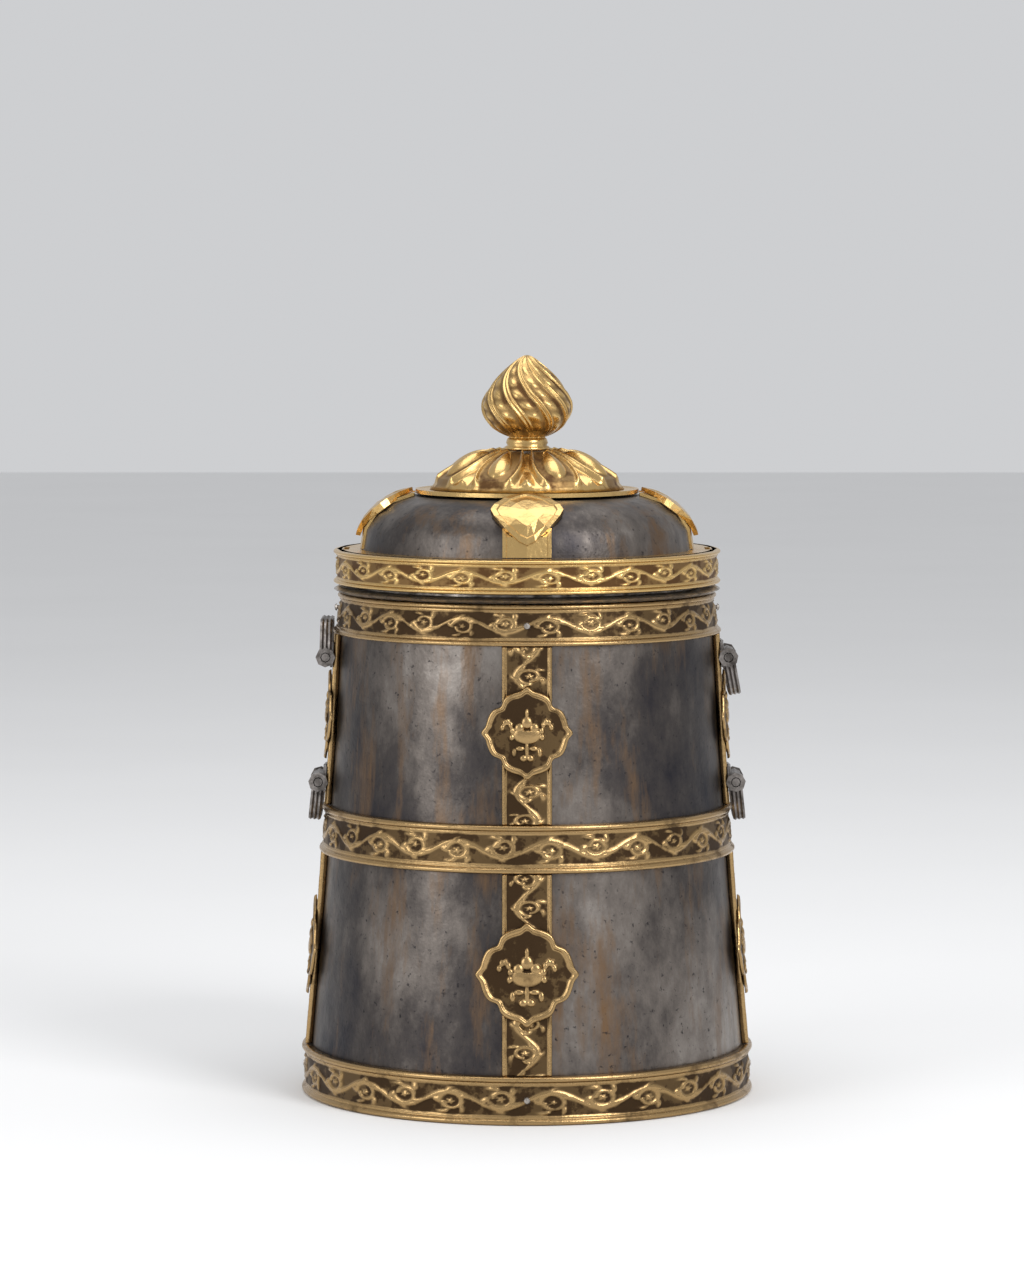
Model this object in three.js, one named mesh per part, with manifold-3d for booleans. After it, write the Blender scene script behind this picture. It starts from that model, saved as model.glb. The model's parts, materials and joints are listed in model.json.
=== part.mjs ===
// A lidded pot: a tapering vessel of dark silver with gilt bands, straps and lobed plaques, four swinging
// carrying bails, and a lift-off domed lid with a lotus mount and a bud finial.
// Millimetres, +Z up. The origin is the centre of the foot, the front faces -Y, and an angle of 0 is the front.

import * as THREE from "three";
import { mergeVertices } from "three/addons/utils/BufferGeometryUtils.js";
import Module from "manifold-3d";

const wasm = await Module();
wasm.setup();

// Fits and facets
const SEAT = 0.3; // gap between pieces that rest on each other
const RUN = 0.4; // gap round a turning or lifting fit
const RING_SEGMENTS = 24;
const SMALL_SEGMENTS = 8;
const QUARTER = Math.PI / 2;

// Silver wall of the pot
const WALL_FOOT_RADIUS = 97.1;
const WALL_MOUTH_RADIUS = 82.3;
const WALL_WAIST = 1.25; // how far the flared side curves in at half height
const WALL_THICKNESS = 1.4;
const WALL_STEPS = 3;
const MOUTH_Z = 227.4;

// Gilt bands round the pot
const BAND_PROUD = 3.9; // bead's crown above the wall
const BAND_GROUND = 2.2; // chased ground above the wall
const BEAD_HEIGHT = 2.1;
const REED_HEIGHT = 0.9;
const REED_PROUD = 0.7; // reed above the ground
const BASE_BAND_HEIGHT = 21.4;
const BASE_BAND_RADIUS = 101.6;
const MIDDLE_BAND_Z = 108.4;
const MIDDLE_BAND_HEIGHT = 21.2;
const RIM_BAND_Z = 206.6;
const RIM_BAND_HEIGHT = 18.2;
const BASE_PLATE_THICKNESS = 1.8;
const BASE_PLATE_RECESS = 0.9;

// Silver mouth ring and the neck that the lid drops over
const MOUTH_RING_RADIUS = 86.5;
const MOUTH_RING_HEIGHT = 2.3;
const LEDGE_THICKNESS = 1.4;
const NECK_RADIUS = 77.0;
const NECK_THICKNESS = 1.3;
const NECK_STEP = 14.0; // how far the neck reaches down inside the wall

// Lid
const LID_GAP = 1.5; // shadow gap between mouth ring and lid
const LID_BAND_HEIGHT = 15.1;
const LID_BAND_RADIUS = 86.7;
const LID_BAND_THICKNESS = 2.6;
const LID_BEAD_HEIGHT = 2.6;
const LID_LINER_THICKNESS = 1.2;
const LEDGE_PLATE_THICKNESS = 1.6;
const SLOT_LENGTH = 17.0;
const SLOT_WIDTH = 3.1;
const SLOT_RADIUS = 81.2;
const DOME_FOOT_RADIUS = 73.7;
const DOME_CROWN_RADIUS = 40.0; // where the shoulder's curve runs out flat
const DOME_RISE = 24.8;
const DOME_FULLNESS = 2.3; // exponent of the shoulder's curve
const DOME_THICKNESS = 1.2;
const DOME_STEPS = 5;

// Straps and plaques
const STRAP_WIDTH = 21.3;
const STRAP_PROUD = 3.2;
const STRAP_GROUND = 2.2;
const STRAP_RIB = 1.6;
const DOME_STRAP_PROUD = 1.7;
const DOME_STRAP_GROUND = 1.2;
const UPPER_PLAQUE = { halfWidth: 18.5, halfHeight: 20.3, z: 169.4 };
const LOWER_PLAQUE = { halfWidth: 21.2, halfHeight: 22.7, z: 65.2 };
const DOME_PLAQUE = { halfWidth: 16.0, halfHeight: 15.6, along: 21.0 };
const PLAQUE_BACK = 0.9; // turned-down edge above the wall
const PLAQUE_RIM = 4.7;
const PLAQUE_FIELD = 4.1;
const PLAQUE_CROWN = 5.5;
const PLAQUE_RIM_WIDTH = 0.12; // share of the half width
const DOME_PLAQUE_BACK = 0.7;
const DOME_PLAQUE_FIELD = 3.0;
const DOME_PLAQUE_RIM = 3.6;
const MERIDIAN_SAMPLES = 48;

// Lotus mount and bud finial
const LOTUS_DISC_RADIUS = 50.0;
const LOTUS_DISC_THICKNESS = 1.5;
const LOTUS_PETALS = 8;
const LOTUS_RADIUS = 43.5;
const LOTUS_NECK_RADIUS = 11.5;
const LOTUS_HEIGHT = 20.0;
const LOTUS_SAMPLES = 6; // facets across one petal
const LOTUS_RINGS = 6;
const LOTUS_FOOT = 2.6;
const PETAL_SWELL = 3.2;
const PETAL_BOSS = 3.4;
const BUD_LEAVES = 8;
const BUD_RADIUS = 20.1;
const BUD_HEIGHT = 37.6;
const BUD_NECK_RADIUS = 9.6;
const BUD_NECK_HEIGHT = 5.0;
const BUD_FLUTE = 0.9; // depth of the furrow between two leaves
const BUD_TWIST = 1.05; // turn of a leaf from foot to tip
const BUD_SEGMENTS = 16;
const TANG_RADIUS = 3.0;
const TANG_INTO_BUD = 10.0;
const TANG_HEAD_RADIUS = 4.6;
const TANG_HEAD_HEIGHT = 1.6;
const ROVE_RADIUS = 9.0;
const ROVE_THICKNESS = 1.4;

// Carrying lugs: bracket, pin and swinging bail
const UPPER_LUG_Z = 196.0;
const LOWER_LUG_Z = 140.0;
const PIVOT_PROUD = 6.1; // pin's axis above the wall
const BARREL_LENGTH = 24.0;
const BARREL_RADIUS = 3.8;
const BARREL_GROOVE = 0.6;
const BARREL_COLLAR = 2.6;
const PIN_RADIUS = 1.9;
const PIN_RECESS = 0.4;
const PLATE_THICKNESS = 1.1;
const PLATE_ABOVE = 6.6;
const PLATE_BELOW = 4.6;
const BAIL_LENGTH = 17.2; // pin's axis to the outside of the cross bar
const BAIL_WIDTH = 5.4;
const BAIL_THICKNESS = 2.0;
const BAIL_CORNER = 3.6;
const BAIL_REEDS = 3;
const REED_DEPTH = 0.55;
const EAR_RADIUS = 4.4;
const UP_LEAN = 0.03; // a raised bail leans this far towards the pot, in radians

// Rivets through the bands
const RIVET_HEAD_RADIUS = 1.7;
const RIVET_HEAD_HEIGHT = 1.1;
const RIVET_SHANK_RADIUS = 0.9;
const RIM_RIVET_FRONT_Z = 215.6;
const RIM_RIVET_SIDE_Z = 217.6;
const BASE_RIVET_Z = 11.0;

// Finishes
const silver = new THREE.MeshStandardMaterial({ color: 0x4a4542, roughness: 0.38, metalness: 1 });
const brightSilver = new THREE.MeshStandardMaterial({ color: 0x8f8880, roughness: 0.35, metalness: 1 });
const gilt = new THREE.MeshStandardMaterial({ color: 0xa9803f, roughness: 0.36, metalness: 1 });
const brightGilt = new THREE.MeshStandardMaterial({ color: 0xc79a4b, roughness: 0.28, metalness: 1 });
const darkSteel = new THREE.MeshStandardMaterial({ color: 0x5b544e, roughness: 0.45, metalness: 1 });

// Solids from and to three.js geometry
function solidOf(geometry) {
  const bare = geometry.clone();
  for (const name of Object.keys(bare.attributes)) {
    if (name !== "position") bare.deleteAttribute(name);
  }
  const merged = mergeVertices(bare, 1e-4);
  return new wasm.Manifold(
    new wasm.Mesh({
      numProp: 3,
      vertProperties: new Float32Array(merged.attributes.position.array),
      triVerts: new Uint32Array(merged.index.array),
    }),
  );
}

function geometryOf(solid) {
  const mesh = solid.getMesh();
  const geometry = new THREE.BufferGeometry();
  geometry.setAttribute("position", new THREE.BufferAttribute(new Float32Array(mesh.vertProperties), 3));
  geometry.setIndex(new THREE.BufferAttribute(new Uint32Array(mesh.triVerts), 1));
  return geometry;
}

// A profile of [radius, z] pairs, turned about the Z axis. Outer side upwards, inner side down.
function revolve(profile, segments = RING_SEGMENTS) {
  const points = profile.map(([r, z]) => new THREE.Vector2(r, z));
  return new THREE.LatheGeometry(points, segments).rotateX(QUARTER);
}

function closed(profile) {
  return [...profile, profile[0]];
}

// A cylinder along X from one end to the other.
function rodAlongX(radius, from, to, segments = SMALL_SEGMENTS) {
  const rod = new THREE.CylinderGeometry(radius, radius, to - from, segments).rotateZ(QUARTER);
  return rod.translate((from + to) / 2, 0, 0);
}

// Turns the faces round where they point inwards, which the handedness of a placing function decides.
function facingOut(positions, index) {
  const at = (i) => new THREE.Vector3().fromArray(positions, 3 * i);
  let volume = 0;
  for (let i = 0; i < index.length; i += 3) {
    volume += at(index[i]).dot(at(index[i + 1]).cross(at(index[i + 2])));
  }
  const geometry = new THREE.BufferGeometry();
  geometry.setAttribute("position", new THREE.Float32BufferAttribute(positions, 3));
  geometry.setIndex(volume < 0 ? [...index].reverse() : index);
  return geometry;
}

// A section of [a, b] pairs carried through frames, each a function that places one pair, and closed at both ends.
function sweep(section, frames) {
  const count = section.length;
  const positions = frames.flatMap((place) => section.flatMap(([a, b]) => place(a, b)));
  const index = [];
  for (let ring = 0; ring + 1 < frames.length; ring++) {
    for (let i = 0; i < count; i++) {
      const j = (i + 1) % count;
      const low = ring * count;
      const high = low + count;
      index.push(low + i, low + j, high + j, low + i, high + j, high + i);
    }
  }
  const flat = section.map(([a, b]) => new THREE.Vector2(a, b));
  const last = (frames.length - 1) * count;
  for (const [i, j, k] of THREE.ShapeUtils.triangulateShape(flat, [])) {
    index.push(i, k, j, last + i, last + j, last + k);
  }
  return facingOut(positions, index);
}

// Rings of points, each ring the same length, closed by a point at each end.
function loft(first, rings, last) {
  const count = rings[0].length;
  const positions = [...first, ...rings.flat(2), ...last];
  const index = [];
  const end = 1 + rings.length * count;
  for (let i = 0; i < count; i++) {
    const j = (i + 1) % count;
    index.push(0, 1 + j, 1 + i);
    index.push(end, end - count + i, end - count + j);
    for (let ring = 0; ring + 1 < rings.length; ring++) {
      const low = 1 + ring * count;
      const high = low + count;
      index.push(low + i, low + j, high + j, low + i, high + j, high + i);
    }
  }
  return facingOut(positions, index);
}

function range(from, to, steps) {
  return Array.from({ length: steps + 1 }, (_, i) => from + ((to - from) * i) / steps);
}

// The wall's radius at a height: straight inside the base band, flared with a slight waist above it.
function wallRadius(z) {
  const t = THREE.MathUtils.clamp((z - BASE_BAND_HEIGHT) / (MOUTH_Z - BASE_BAND_HEIGHT), 0, 1);
  const straight = THREE.MathUtils.lerp(WALL_FOOT_RADIUS, WALL_MOUTH_RADIUS, t);
  return straight - 4 * WALL_WAIST * t * (1 - t);
}

// A point on the front of the wall: s across, z up, h outwards.
function onWall(s, z, h) {
  const r = wallRadius(z);
  const angle = s / r;
  return [(r + h) * Math.sin(angle), -(r + h) * Math.cos(angle), z];
}

// Half-round bead between two heights, as profile points.
function bead(zFrom, zTo, rBase, rCrown) {
  const middle = (zFrom + zTo) / 2;
  const half = (zTo - zFrom) / 2;
  return range(-QUARTER, QUARTER, 2).map((a) => [
    rBase + (rCrown - rBase) * Math.max(Math.cos(a), 0) ** 0.7,
    middle + half * Math.sin(a),
  ]);
}

// A band's profile: bead and reed at each edge, with the chased ground between them.
function bandProfile({ zLow, zHigh, inner, ground, crown, reed, beadLow = BEAD_HEIGHT, beadHigh = BEAD_HEIGHT }) {
  const reedLow = zLow + beadLow + REED_HEIGHT;
  const reedHigh = zHigh - beadHigh - REED_HEIGHT;
  const outside = [
    ...bead(zLow, zLow + beadLow, ground(zLow), crown(zLow)),
    [ground(reedLow) + reed, reedLow - REED_HEIGHT / 2],
    [ground(reedLow), reedLow],
    [ground(reedHigh), reedHigh],
  ];
  const upper = [
    [ground(reedHigh) + reed, reedHigh + REED_HEIGHT / 2],
    ...bead(zHigh - beadHigh, zHigh, ground(zHigh), crown(zHigh)),
  ];
  return closed([...outside, ...(beadHigh > 0 ? upper : []), ...inner]);
}

function drillFromFront(solid, z, angle, reach) {
  const drill = new THREE.CylinderGeometry(RIVET_SHANK_RADIUS + SEAT, RIVET_SHANK_RADIUS + SEAT, reach, 8);
  drill.translate(0, -wallRadius(z), z).rotateZ(angle);
  return solid.subtract(solidOf(drill));
}

// Where the rivets go: one at each quarter of the rim band and of the base band.
const SIDES = [
  { name: "front", angle: 0 },
  { name: "right", angle: QUARTER },
  { name: "back", angle: 2 * QUARTER },
  { name: "left", angle: 3 * QUARTER },
];
const rimRivetZ = (side) => (side.angle % Math.PI === 0 ? RIM_RIVET_FRONT_Z : RIM_RIVET_SIDE_Z);
const RIVET_DRILL = 20;
const drillRim = (solid) =>
  SIDES.reduce((made, side) => drillFromFront(made, rimRivetZ(side), side.angle, RIVET_DRILL), solid);
const drillBase = (solid) =>
  SIDES.reduce((made, side) => drillFromFront(made, BASE_RIVET_Z, side.angle, RIVET_DRILL), solid);

// Pot: wall, foot, bands and mouth
function makeWall() {
  const top = MOUTH_Z - MOUTH_RING_HEIGHT - SEAT;
  const heights = [BASE_PLATE_RECESS, BASE_BAND_HEIGHT, ...range(BASE_BAND_HEIGHT, top, WALL_STEPS).slice(1)];
  const outside = heights.map((z) => [wallRadius(z), z]);
  const inside = heights.map((z) => [wallRadius(z) - WALL_THICKNESS, z]).reverse();
  return geometryOf(drillBase(drillRim(solidOf(revolve(closed([...outside, ...inside]))))));
}

function makeBasePlate() {
  const radius = WALL_FOOT_RADIUS - WALL_THICKNESS - SEAT;
  const low = BASE_PLATE_RECESS;
  const high = low + BASE_PLATE_THICKNESS;
  return revolve([
    [0, low],
    [radius, low],
    [radius, high],
    [0, high],
  ]);
}

function makeBaseBand() {
  const ground = BASE_BAND_RADIUS - (BAND_PROUD - BAND_GROUND);
  const inner = WALL_FOOT_RADIUS + SEAT;
  const profile = bandProfile({
    zLow: 0,
    zHigh: BASE_BAND_HEIGHT,
    ground: () => ground,
    crown: () => BASE_BAND_RADIUS,
    reed: REED_PROUD,
    inner: [
      [inner, BASE_BAND_HEIGHT],
      [inner, 0],
    ],
  });
  return geometryOf(drillBase(solidOf(revolve(profile))));
}

function makeWallBand(zLow, zHigh, beadHigh) {
  const profile = bandProfile({
    zLow,
    zHigh,
    ground: (z) => wallRadius(z) + BAND_GROUND,
    crown: (z) => wallRadius(z) + BAND_PROUD,
    reed: REED_PROUD,
    beadHigh,
    inner: [
      [wallRadius(zHigh) + SEAT, zHigh],
      [wallRadius(zLow) + SEAT, zLow],
    ],
  });
  return solidOf(revolve(profile));
}

// Mouth ring, the ledge that closes the wall's top edge, and the neck, raised from one piece of silver.
function makeMouth() {
  const low = MOUTH_Z - MOUTH_RING_HEIGHT;
  const neckTop = lidLedgeUnderside() - SEAT;
  const neckFoot = MOUTH_Z - NECK_STEP;
  const rim = wallRadius(MOUTH_Z) + BAND_GROUND;
  return revolve(
    closed([
      ...bead(low, MOUTH_Z, rim, MOUTH_RING_RADIUS),
      [NECK_RADIUS, MOUTH_Z],
      [NECK_RADIUS, neckTop],
      [NECK_RADIUS - NECK_THICKNESS, neckTop],
      [NECK_RADIUS - NECK_THICKNESS, neckFoot],
      [NECK_RADIUS, neckFoot],
      [NECK_RADIUS, MOUTH_Z - LEDGE_THICKNESS],
      [wallRadius(low) - WALL_THICKNESS - SEAT, MOUTH_Z - LEDGE_THICKNESS],
      [wallRadius(low) - WALL_THICKNESS - SEAT, low],
    ]),
  );
}

// Lid: rim band, liner, ledge plate and dome
function lidLow() {
  return MOUTH_Z + LID_GAP;
}

function lidTop() {
  return lidLow() + LID_BAND_HEIGHT;
}

function lidLedgeUnderside() {
  return lidTop() - LEDGE_PLATE_THICKNESS;
}

function lidInnerRadius() {
  return LID_BAND_RADIUS - (BAND_PROUD - BAND_GROUND) - LID_BAND_THICKNESS;
}

function ledgePlateRadius() {
  return LID_BAND_RADIUS - 1.5;
}

function makeLidBand() {
  const ground = LID_BAND_RADIUS - (BAND_PROUD - BAND_GROUND);
  const rebate = ledgePlateRadius() + SEAT;
  const profile = bandProfile({
    zLow: lidLow(),
    zHigh: lidTop(),
    ground: () => ground,
    crown: () => LID_BAND_RADIUS,
    reed: REED_PROUD,
    beadLow: BEAD_HEIGHT,
    beadHigh: LID_BEAD_HEIGHT,
    inner: [
      [rebate, lidTop()],
      [rebate, lidLedgeUnderside() - SEAT],
      [lidInnerRadius(), lidLedgeUnderside() - SEAT],
      [lidInnerRadius(), lidLow()],
    ],
  }).filter(([r, z]) => r >= rebate || z < lidTop() - 1e-6);
  return revolve(profile);
}

function makeLidLiner() {
  const inner = NECK_RADIUS + RUN;
  const low = lidLow() + RUN;
  const high = lidLedgeUnderside() - SEAT;
  return revolve(
    closed([
      [inner + LID_LINER_THICKNESS, low],
      [inner + LID_LINER_THICKNESS, high],
      [inner, high],
      [inner, low],
    ]),
  );
}

function makeLedgePlate() {
  const plate = solidOf(
    revolve(
      closed([
        [ledgePlateRadius(), lidLedgeUnderside()],
        [ledgePlateRadius(), lidTop()],
        [DOME_FOOT_RADIUS + SEAT, lidTop()],
        [DOME_FOOT_RADIUS + SEAT, lidLedgeUnderside()],
      ]),
    ),
  );
  return geometryOf(
    [QUARTER, 3 * QUARTER].reduce((made, angle) => {
      const slot = new THREE.BoxGeometry(SLOT_LENGTH, SLOT_WIDTH, 4 * LEDGE_PLATE_THICKNESS);
      slot.translate(0, -SLOT_RADIUS, lidTop()).rotateZ(angle);
      return made.subtract(solidOf(slot));
    }, plate),
  );
}

// The dome's meridian: a full, rounded shoulder from the foot to the flat crown, offset outwards by h.
function domeMeridian(h, steps = DOME_STEPS) {
  const wide = DOME_FOOT_RADIUS - DOME_CROWN_RADIUS;
  return range(0, QUARTER, steps).map((a) => {
    const c = Math.max(Math.cos(a), 0) ** (2 / DOME_FULLNESS);
    const s = Math.max(Math.sin(a), 0) ** (2 / DOME_FULLNESS);
    const slope = new THREE.Vector2(
      c ** (DOME_FULLNESS - 1) / wide,
      s ** (DOME_FULLNESS - 1) / DOME_RISE,
    ).normalize();
    return [DOME_CROWN_RADIUS + wide * c + h * slope.x, lidTop() + DOME_RISE * s + h * slope.y];
  });
}

function domeCrownZ() {
  return lidTop() + DOME_RISE;
}

function makeDome() {
  const bore = TANG_RADIUS + SEAT;
  const foot = lidLedgeUnderside();
  const outside = domeMeridian(0);
  const inside = domeMeridian(-DOME_THICKNESS).reverse();
  return revolve(
    closed([
      [DOME_FOOT_RADIUS, foot],
      ...outside,
      [bore, domeCrownZ()],
      [bore, domeCrownZ() - DOME_THICKNESS],
      ...inside,
      [DOME_FOOT_RADIUS - DOME_THICKNESS, foot],
    ]),
  );
}

// A closed skin over the dome between two offsets.
function domeSkin(from, to) {
  const rise = 0.4; // clear of the ledge plate
  const outer = domeMeridian(to).map(([r, z], i) => [r, i === 0 ? lidTop() + rise : z]);
  const inner = domeMeridian(from).map(([r, z], i) => [r, i === 0 ? lidTop() + rise : z]);
  return solidOf(revolve(closed([...outer, ...inner.reverse()])));
}

// Straps: two raised edge ribs and a chased ground between them
function strapSection(width, proud, ground, back, grow = 0) {
  const half = width / 2 + grow;
  const top = proud + grow;
  const low = ground + (grow > 0 ? top - ground : 0);
  const rib = STRAP_RIB;
  const right = [
    [half, back],
    [half, top - 0.5],
    [half - 0.4, top],
    [half - rib + 0.4, top],
    [half - rib, low],
  ];
  const left = right.map(([s, h]) => [-s, h]).reverse();
  return [...right, [0, low], ...left, [0, back]];
}

function wallStrap(zLow, zHigh, grow = 0) {
  const back = grow > 0 ? -1 : SEAT;
  const section = strapSection(STRAP_WIDTH, STRAP_PROUD, STRAP_GROUND, back, grow);
  const heights = range(zLow - 4 * grow, zHigh + 4 * grow, 3);
  const frames = heights.map((z) => (s, h) => onWall(s, z, h));
  return sweep(section, frames);
}

function domeStrapSkin(grow) {
  const across = STRAP_WIDTH + 2 * grow;
  const outerReach = DOME_FOOT_RADIUS + 30;
  const innerReach = LOTUS_DISC_RADIUS + SEAT;
  const box = new THREE.BoxGeometry(across, outerReach - innerReach, 4 * DOME_RISE);
  box.translate(0, -(outerReach + innerReach) / 2, lidTop());
  return solidOf(box);
}

function makeDomeStrap() {
  const half = STRAP_WIDTH / 2;
  const field = domeStrapSkin(0).intersect(domeSkin(SEAT, DOME_STRAP_GROUND));
  const ribs = [-1, 1].map((side) => {
    const box = new THREE.BoxGeometry(STRAP_RIB, 4 * DOME_FOOT_RADIUS, 4 * DOME_RISE);
    box.translate(side * (half - STRAP_RIB / 2), 0, lidTop());
    return solidOf(box).intersect(domeStrapSkin(0)).intersect(domeSkin(SEAT, DOME_STRAP_PROUD));
  });
  return geometryOf(ribs.reduce((made, rib) => made.add(rib), field));
}

// Plaques: an eight-lobed outline with ogee points at top, bottom and sides
function lobe(angle) {
  const quarter = ((angle % QUARTER) + QUARTER) % QUARTER;
  const fromPoint = THREE.MathUtils.radToDeg(Math.min(quarter, QUARTER - quarter));
  const point = 0.075 * Math.max(1 - fromPoint / 11, 0) ** 1.5;
  const notch = 0.09 * Math.max((fromPoint - 18) / 27, 0) ** 2;
  return 0.925 + point - notch;
}

const LOBE_DEGREES = [0, 14, 45, 76];
const LOBE_ANGLES = [0, 90, 180, 270].flatMap((start) =>
  LOBE_DEGREES.map((degrees) => THREE.MathUtils.degToRad(start + degrees)),
);

function plaqueOutline({ halfWidth, halfHeight }, share) {
  return LOBE_ANGLES.map((a) => [
    share * halfWidth * lobe(a) * Math.cos(a),
    share * halfHeight * lobe(a) * Math.sin(a),
  ]);
}

function makeWallPlaque(plaque, strap) {
  const inside = 1 - PLAQUE_RIM_WIDTH;
  const steps = [
    [1, PLAQUE_BACK],
    [1, PLAQUE_RIM],
    [inside, PLAQUE_RIM],
    [inside - 0.03, PLAQUE_FIELD],
  ];
  const rings = steps.map(([share, h]) =>
    plaqueOutline(plaque, share).map(([s, t]) => onWall(s, plaque.z + t, h)),
  );
  const back = onWall(0, plaque.z, PLAQUE_BACK);
  const crown = onWall(0, plaque.z, PLAQUE_CROWN);
  return geometryOf(solidOf(loft(back, rings, crown)).subtract(strap));
}

// A point on the front of the dome: s across, t up the shoulder from the middle of its curve, h outwards.
function onDome(s, t, h) {
  const surface = domeMeridian(0, MERIDIAN_SAMPLES);
  const step = (i) => Math.hypot(surface[i + 1][0] - surface[i][0], surface[i + 1][1] - surface[i][1]);
  let distance = DOME_PLAQUE.along + t;
  let i = 0;
  while (i + 2 < surface.length && distance > step(i)) {
    distance -= step(i);
    i += 1;
  }
  const share = distance / step(i);
  const offset = domeMeridian(h, MERIDIAN_SAMPLES);
  const r = THREE.MathUtils.lerp(offset[i][0], offset[i + 1][0], share);
  const z = THREE.MathUtils.lerp(offset[i][1], offset[i + 1][1], share);
  const angle = s / r;
  return [r * Math.sin(angle), -r * Math.cos(angle), z];
}

function makeDomePlaque() {
  const inside = 1 - 1.3 * PLAQUE_RIM_WIDTH;
  const steps = [
    [0.55, DOME_PLAQUE_BACK],
    [1, DOME_PLAQUE_BACK],
    [1, DOME_PLAQUE_RIM],
    [inside, DOME_PLAQUE_RIM],
    [inside - 0.04, DOME_PLAQUE_FIELD],
    [0.5, DOME_PLAQUE_FIELD + 0.2],
  ];
  const rings = steps.map(([share, h]) => plaqueOutline(DOME_PLAQUE, share).map(([s, t]) => onDome(s, t, h)));
  const plaque = solidOf(loft(onDome(0, 0, DOME_PLAQUE_BACK), rings, onDome(0, 0, DOME_PLAQUE_FIELD + 0.4)));
  const channel = domeStrapSkin(SEAT).intersect(domeSkin(-1, DOME_STRAP_PROUD + SEAT));
  return geometryOf(plaque.subtract(channel));
}

// Lotus mount: a bell of eight petals, each with a swelling rim and a boss, and pointed sepals between them
function lotusDiscTop() {
  return domeCrownZ() + SEAT + LOTUS_DISC_THICKNESS;
}

function makeLotusDisc() {
  const low = domeCrownZ() + SEAT;
  const high = lotusDiscTop();
  const bore = TANG_RADIUS + SEAT;
  return revolve(
    closed([
      [LOTUS_DISC_RADIUS, low],
      [LOTUS_DISC_RADIUS, high + 0.3],
      [LOTUS_DISC_RADIUS - 1.4, high + 0.3],
      [LOTUS_DISC_RADIUS - 1.9, high],
      [bore, high],
      [bore, low],
    ]),
  );
}

// How far a petal swells above the bell. p runs from neck to foot, q from -1 to 1 across the petal.
function petalSwell(p, q) {
  const halfWidth = 0.95 * Math.sin(Math.PI * THREE.MathUtils.clamp(0.18 + 0.72 * p, 0, 1)) ** 0.6;
  const inside = THREE.MathUtils.clamp((halfWidth - Math.abs(q)) / 0.3, 0, 1);
  const boss = THREE.MathUtils.clamp(1 - ((p - 0.45) / 0.3) ** 2 - (q / 0.55) ** 2, 0, 1) ** 0.5;
  const sepal = THREE.MathUtils.clamp((p - 0.72) / 0.2, 0, 1) * THREE.MathUtils.clamp((Math.abs(q) - 0.62) / 0.3, 0, 1);
  const end = THREE.MathUtils.clamp((0.97 - p) / 0.08, 0, 1) * THREE.MathUtils.clamp(p / 0.12, 0, 1);
  return PETAL_SWELL * inside * end + PETAL_BOSS * boss + 0.6 * PETAL_SWELL * sepal;
}

function bellPoint(p) {
  const radius = THREE.MathUtils.lerp(LOTUS_NECK_RADIUS, LOTUS_RADIUS - 1.6, p);
  const drop = LOTUS_HEIGHT - PETAL_SWELL - LOTUS_FOOT;
  return [radius, LOTUS_FOOT + drop * (1 - p ** 1.5)];
}

function makeLotus() {
  const low = lotusDiscTop() + SEAT;
  const bore = TANG_RADIUS + SEAT;
  const count = LOTUS_PETALS * LOTUS_SAMPLES;
  const ring = (placeAt) =>
    Array.from({ length: count }, (_, i) => {
      const angle = (2 * Math.PI * i) / count;
      const across = ((i % LOTUS_SAMPLES) / LOTUS_SAMPLES) * 2 - 1;
      const [r, z] = placeAt(across);
      return [r * Math.sin(angle), -r * Math.cos(angle), z];
    });
  const petals = range(0, 1, LOTUS_RINGS).map((p) =>
    ring((q) => {
      const [r, z] = bellPoint(p);
      const swell = petalSwell(p, q);
      return [r + 0.45 * swell * p, low + z + swell * (1 - 0.45 * p)];
    }),
  );
  const sections = [ring(() => [LOTUS_RADIUS, low]), ...petals.reverse()];
  const body = solidOf(loft([0, 0, low], sections, [0, 0, low + LOTUS_HEIGHT - PETAL_SWELL]));
  const drill = new THREE.CylinderGeometry(bore, bore, 3 * LOTUS_HEIGHT, SMALL_SEGMENTS).rotateX(QUARTER);
  return geometryOf(body.subtract(solidOf(drill.translate(0, 0, low))));
}

function lotusTop() {
  return lotusDiscTop() + SEAT + LOTUS_HEIGHT - PETAL_SWELL;
}

// Bud: an onion form with a waisted neck, furrowed by leaves that twist as they rise
function budRadius(t) {
  const swell = Math.sin(Math.PI * THREE.MathUtils.clamp(t, 0, 1) ** 0.72) ** 0.62;
  const point = 1 - 0.55 * Math.max(t - 0.45, 0) ** 1.3;
  return Math.max(BUD_NECK_RADIUS * (1 - t) ** 6, BUD_RADIUS * swell * point * 1.06);
}

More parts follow.
